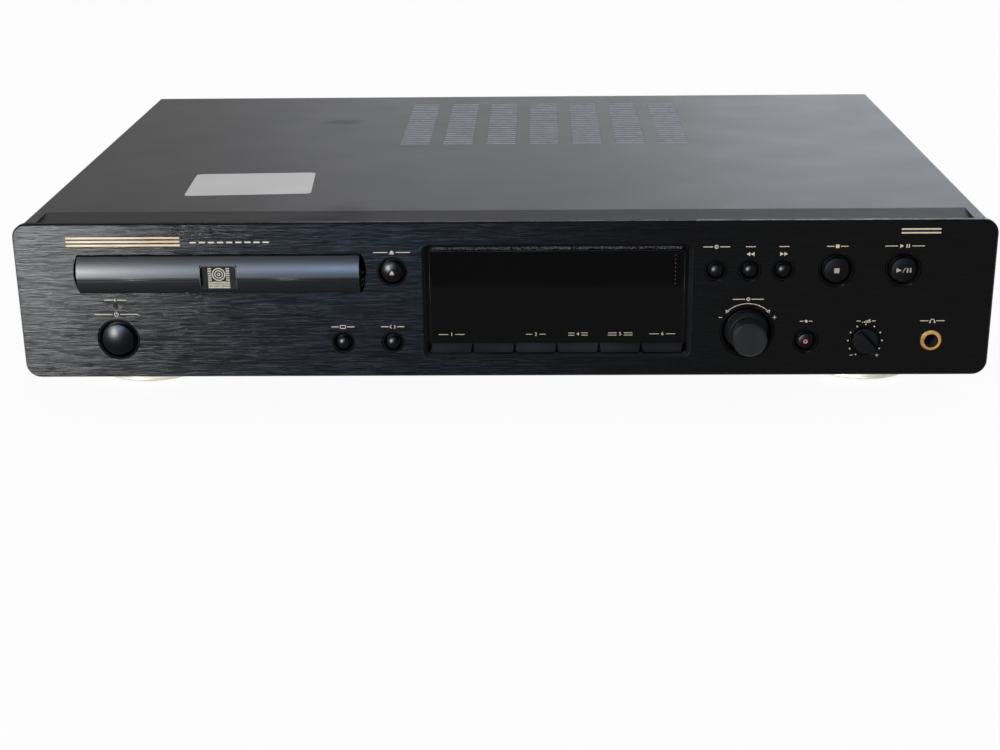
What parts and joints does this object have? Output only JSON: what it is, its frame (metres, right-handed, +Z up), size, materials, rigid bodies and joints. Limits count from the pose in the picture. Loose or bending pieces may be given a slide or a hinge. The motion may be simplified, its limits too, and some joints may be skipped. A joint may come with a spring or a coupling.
{
  "type": "cd recorder",
  "caption": "Full-width hi-fi disc recorder: brushed black front, loading tray, display window with keys under it, domed buttons, jog and level knobs, vented cover.",
  "frame": {"origin": "centre of the bounding box on the plane that the feet stand on", "axes": "+X to the right seen from the front, along the panel; +Y from the front panel to the rear; +Z up"},
  "size_m": [0.44, 0.3188, 0.0878],
  "materials": {
    "panel": "black anodised, brushed along its length",
    "frame": "black",
    "window": "smoked, polished",
    "tube": "dark glass over a grey grid",
    "circuit_board": "green solder mask",
    "power_circuit_board": "tan laminate",
    "switch": "black",
    "control_body": "plated",
    "jack": "gold-coloured rim",
    "lamp": "unlit red",
    "cover": "satin black paint",
    "zinc": "zinc-plated sheet",
    "rear": "satin black paint",
    "foot": "black",
    "foot_ring": "pale gold, bright",
    "screw": "black",
    "loader": "dark grey",
    "steel": "bright",
    "motor": "plated can",
    "white_plastic": "natural white",
    "belt": "black",
    "tray": "black, satin",
    "door": "black, satin",
    "badge": "dark plate with a gold mark",
    "deck": "zinc-plated sheet",
    "platter": "black",
    "pickup": "grey",
    "lens": "clear, bluish",
    "transformer": "varnished laminations",
    "board_part": "dark sleeves and cases",
    "heatsink": "plain",
    "ribbon": "pale grey",
    "socket": "plated sleeves",
    "optical": "black",
    "inlet": "black",
    "button": "black, polished",
    "key": "dark, semi-polished",
    "knob": "black, satin"
  },
  "bodies": {
    "casing": {"front_panel": "panel", "front_frame": "frame", "display_window": "window", "display_tube": "tube", "front_board": "circuit_board", "control_switches": "switch", "rotary_controls": "control_body", "headphone_jack": "jack", "standby_lamp": "lamp", "top_cover": "cover", "chassis_base": "zinc", "rear_panel": "rear", "feet": "foot", "foot_rings": "foot_ring", "cover_screws": "screw", "loader_frame": "loader", "clamp_bridge": "steel", "loading_motor": "motor", "drive_belt": "belt", "main_board": "circuit_board", "power_board": "power_circuit_board", "transformer": "transformer", "board_parts": "board_part", "heatsink": "heatsink", "ribbon_cables": "ribbon", "rca_sockets": "socket", "optical_sockets": "optical", "mains_inlet": "inlet"},
    "tray": {"disc_tray": "tray", "tray_door": "door", "tray_badge": "badge"},
    "large_gear": {"drive_gear": "white_plastic"},
    "belt_wheel": {"pulley_gear": "white_plastic"},
    "motor_wheel": {"motor_pulley": "white_plastic"},
    "deck": {"traverse_deck": "deck", "guide_rods": "steel", "deck_motors": "motor"},
    "platter": {"turntable": "platter"},
    "pickup": {"optical_pickup": "pickup"},
    "screw": {"lead_screw": "steel"},
    "lens": {"objective_lens": "lens"},
    "clamp": {"clamp_disc": "platter"},
    "power_button_body": {"power_button": "button"},
    "open_close_button_body": {"open_close_button": "button"},
    "display_button_body": {"display_button": "button"},
    "scroll_button_body": {"scroll_button": "button"},
    "disc_type_button_body": {"disc_type_button": "button"},
    "rewind_button_body": {"rewind_button": "button"},
    "fast_forward_button_body": {"fast_forward_button": "button"},
    "stop_button_body": {"stop_button": "button"},
    "play_pause_button_body": {"play_pause_button": "button"},
    "record_button_body": {"record_button": "button"},
    "source_key_body": {"source_key": "key"},
    "spare_key_body": {"spare_key": "key"},
    "erase_key_body": {"erase_key": "key"},
    "store_key_body": {"store_key": "key"},
    "cancel_key_body": {"cancel_key": "key"},
    "finalize_key_body": {"finalize_key": "key"},
    "jog_knob_body": {"jog_knob": "knob"},
    "level_knob_body": {"level_knob": "knob"}
  },
  "joints": [
    {"name": "tray_slide", "type": "slide", "parent": "casing", "child": "tray", "axis": [0, -1, 0], "range_m": [0, 0.138]},
    {"name": "drive_gear_turn", "type": "hinge", "parent": "casing", "child": "large_gear", "pos_m": [-0.07, -0.1024, 0.053], "axis": [0, 0, 1], "range_deg": [0, 791.2]},
    {"name": "pulley_gear_turn", "type": "hinge", "parent": "casing", "child": "belt_wheel", "pos_m": [-0.0933, -0.11088, 0.048], "axis": [0, 0, 1], "range_deg": [-3295, 0]},
    {"name": "motor_pulley_turn", "type": "hinge", "parent": "casing", "child": "motor_wheel", "pos_m": [-0.14, -0.11088, 0.048], "axis": [0, 0, 1], "range_deg": [-10616.1, 0]},
    {"name": "deck_tilt", "type": "hinge", "parent": "casing", "child": "deck", "pos_m": [-0.1275, 0.0416, 0.049], "axis": [1, 0, 0], "range_deg": [0, 6]},
    {"name": "platter_spin", "type": "hinge", "parent": "deck", "child": "platter", "pos_m": [-0.1275, -0.0724, 0.0685], "axis": [0, 0, 1], "continuous": true},
    {"name": "pickup_slide", "type": "slide", "parent": "deck", "child": "pickup", "axis": [0, 1, 0], "range_m": [0, 0.035]},
    {"name": "lead_screw_turn", "type": "hinge", "parent": "deck", "child": "screw", "pos_m": [-0.0995, -0.0264, 0.0552], "axis": [0, 1, 0], "range_deg": [-2100.5, 0]},
    {"name": "lens_focus", "type": "slide", "parent": "pickup", "child": "lens", "axis": [0, 0, 1], "range_m": [-0.0005, 0.0005], "stiffness_N_per_m": 100},
    {"name": "clamp_lift", "type": "slide", "parent": "casing", "child": "clamp", "axis": [0, 0, 1], "range_m": [0, 0.0012]},
    {"name": "power_button_press", "type": "slide", "parent": "casing", "child": "power_button_body", "axis": [0, 1, 0], "range_m": [0, 0.0025], "stiffness_N_per_m": 400, "springref_m": -0.0005},
    {"name": "open_close_button_press", "type": "slide", "parent": "casing", "child": "open_close_button_body", "axis": [0, 1, 0], "range_m": [0, 0.001], "stiffness_N_per_m": 600, "springref_m": -0.0005},
    {"name": "display_button_press", "type": "slide", "parent": "casing", "child": "display_button_body", "axis": [0, 1, 0], "range_m": [0, 0.001], "stiffness_N_per_m": 600, "springref_m": -0.0005},
    {"name": "scroll_button_press", "type": "slide", "parent": "casing", "child": "scroll_button_body", "axis": [0, 1, 0], "range_m": [0, 0.001], "stiffness_N_per_m": 600, "springref_m": -0.0005},
    {"name": "disc_type_button_press", "type": "slide", "parent": "casing", "child": "disc_type_button_body", "axis": [0, 1, 0], "range_m": [0, 0.001], "stiffness_N_per_m": 600, "springref_m": -0.0005},
    {"name": "rewind_button_press", "type": "slide", "parent": "casing", "child": "rewind_button_body", "axis": [0, 1, 0], "range_m": [0, 0.001], "stiffness_N_per_m": 600, "springref_m": -0.0005},
    {"name": "fast_forward_button_press", "type": "slide", "parent": "casing", "child": "fast_forward_button_body", "axis": [0, 1, 0], "range_m": [0, 0.001], "stiffness_N_per_m": 600, "springref_m": -0.0005},
    {"name": "stop_button_press", "type": "slide", "parent": "casing", "child": "stop_button_body", "axis": [0, 1, 0], "range_m": [0, 0.001], "stiffness_N_per_m": 600, "springref_m": -0.0005},
    {"name": "play_pause_button_press", "type": "slide", "parent": "casing", "child": "play_pause_button_body", "axis": [0, 1, 0], "range_m": [0, 0.001], "stiffness_N_per_m": 600, "springref_m": -0.0005},
    {"name": "record_button_press", "type": "slide", "parent": "casing", "child": "record_button_body", "axis": [0, 1, 0], "range_m": [0, 0.001], "stiffness_N_per_m": 600, "springref_m": -0.0005},
    {"name": "source_key_press", "type": "slide", "parent": "casing", "child": "source_key_body", "axis": [0, 1, 0], "range_m": [0, 0.0007], "stiffness_N_per_m": 600, "springref_m": -0.0005},
    {"name": "spare_key_press", "type": "slide", "parent": "casing", "child": "spare_key_body", "axis": [0, 1, 0], "range_m": [0, 0.0007], "stiffness_N_per_m": 600, "springref_m": -0.0005},
    {"name": "erase_key_press", "type": "slide", "parent": "casing", "child": "erase_key_body", "axis": [0, 1, 0], "range_m": [0, 0.0007], "stiffness_N_per_m": 600, "springref_m": -0.0005},
    {"name": "store_key_press", "type": "slide", "parent": "casing", "child": "store_key_body", "axis": [0, 1, 0], "range_m": [0, 0.0007], "stiffness_N_per_m": 600, "springref_m": -0.0005},
    {"name": "cancel_key_press", "type": "slide", "parent": "casing", "child": "cancel_key_body", "axis": [0, 1, 0], "range_m": [0, 0.0007], "stiffness_N_per_m": 600, "springref_m": -0.0005},
    {"name": "finalize_key_press", "type": "slide", "parent": "casing", "child": "finalize_key_body", "axis": [0, 1, 0], "range_m": [0, 0.0007], "stiffness_N_per_m": 600, "springref_m": -0.0005},
    {"name": "jog_turn", "type": "hinge", "parent": "casing", "child": "jog_knob_body", "pos_m": [0.1105, -0.1464, 0.036], "axis": [0, -1, 0], "continuous": true},
    {"name": "level_turn", "type": "hinge", "parent": "casing", "child": "level_knob_body", "pos_m": [0.164, -0.1464, 0.0316], "axis": [0, -1, 0], "range_deg": [-193, 107]}
  ],
  "couplings": [
    {"joint": "drive_gear_turn", "follows": "tray_slide", "rad_per_m": 100},
    {"joint": "pulley_gear_turn", "follows": "tray_slide", "rad_per_m": -416.67},
    {"joint": "motor_pulley_turn", "follows": "tray_slide", "rad_per_m": -1342.6},
    {"joint": "lead_screw_turn", "follows": "pickup_slide", "rad_per_m": -1047.2}
  ]
}
